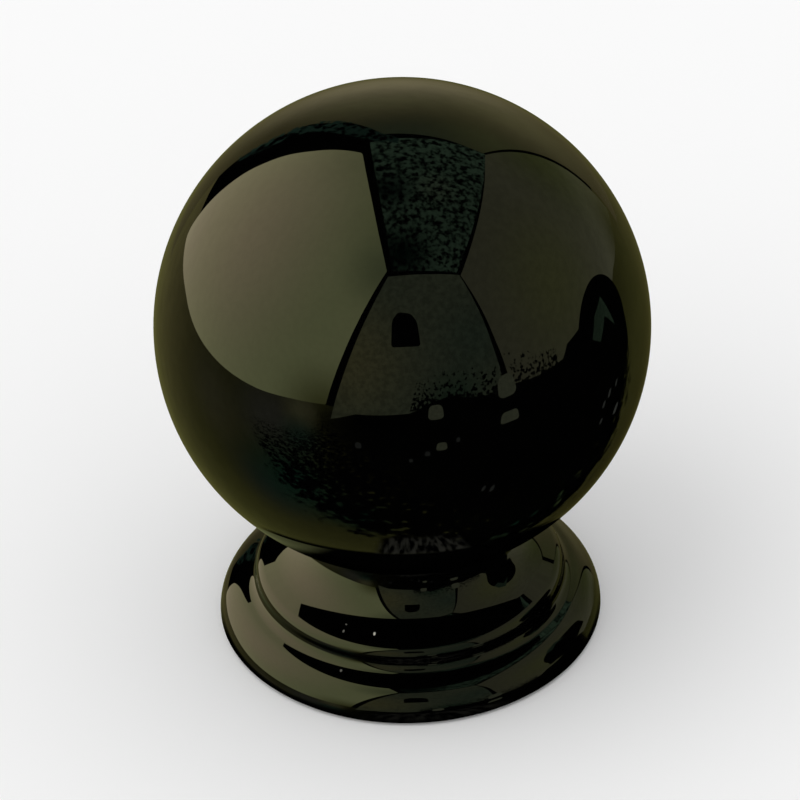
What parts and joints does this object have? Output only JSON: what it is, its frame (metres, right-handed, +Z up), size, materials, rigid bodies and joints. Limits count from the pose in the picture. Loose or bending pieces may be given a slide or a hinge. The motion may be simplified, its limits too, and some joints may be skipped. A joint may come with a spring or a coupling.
{
  "type": "ball knob",
  "caption": "One-piece turned cupboard knob: a full gloss black ball on a short waist and a stepped round foot, with a blind tapped hole in the flat underside.",
  "frame": {"origin": "centre of the foot's flat underside", "axes": "+Z up the knob's axis, from the underside through the waist to the top of the ball"},
  "size_m": [0.032, 0.032, 0.0391],
  "materials": {
    "gloss_black_lacquer": "mirror-gloss black lacquer over turned metal, with a faint flow ripple and a few settled specks"
  },
  "bodies": {
    "root": {"ball_knob": "gloss_black_lacquer"}
  },
  "joints": []
}
